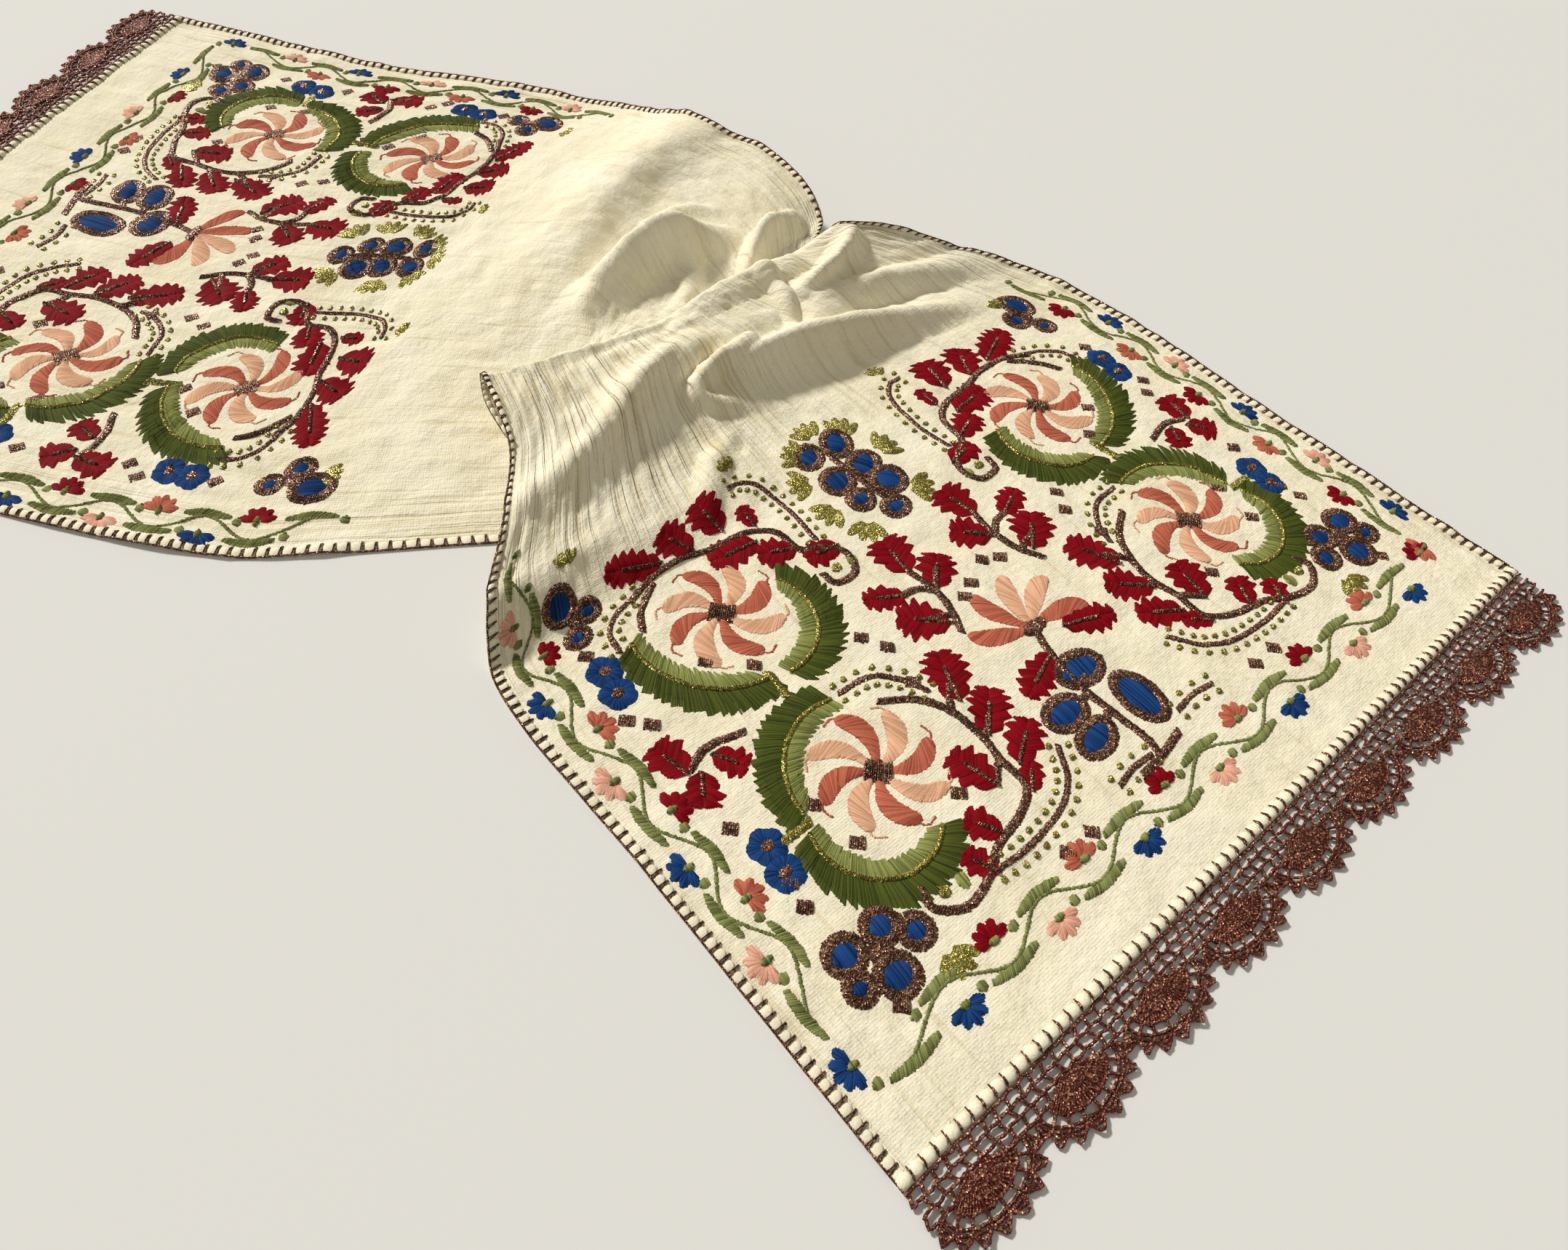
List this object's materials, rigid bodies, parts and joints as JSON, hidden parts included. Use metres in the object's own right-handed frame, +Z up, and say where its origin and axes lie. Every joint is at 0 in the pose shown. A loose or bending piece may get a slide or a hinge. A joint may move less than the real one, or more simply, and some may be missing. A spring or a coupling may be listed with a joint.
{
  "type": "embroidered table runner",
  "caption": "Long crinkled cotton table runner lying on a table, pushed into cross folds at its middle, with embroidered ends and a scalloped crocheted edging along each hem.",
  "frame": {"origin": "on the table, under the middle of the runner's box", "axes": "+Z up from the table, +X along the runner's longer extent towards the near end, +Y towards the runner's right edge seen from the near end"},
  "size_m": [0.9879, 0.5486, 0.0332],
  "materials": {
    "cotton": "matt crinkled cotton gauze",
    "edging_thread": "copper-brown crochet thread with a metallic glint"
  },
  "bodies": {
    "root": {"cloth": "cotton", "edging_near": "edging_thread", "edging_far": "edging_thread"}
  },
  "joints": []
}
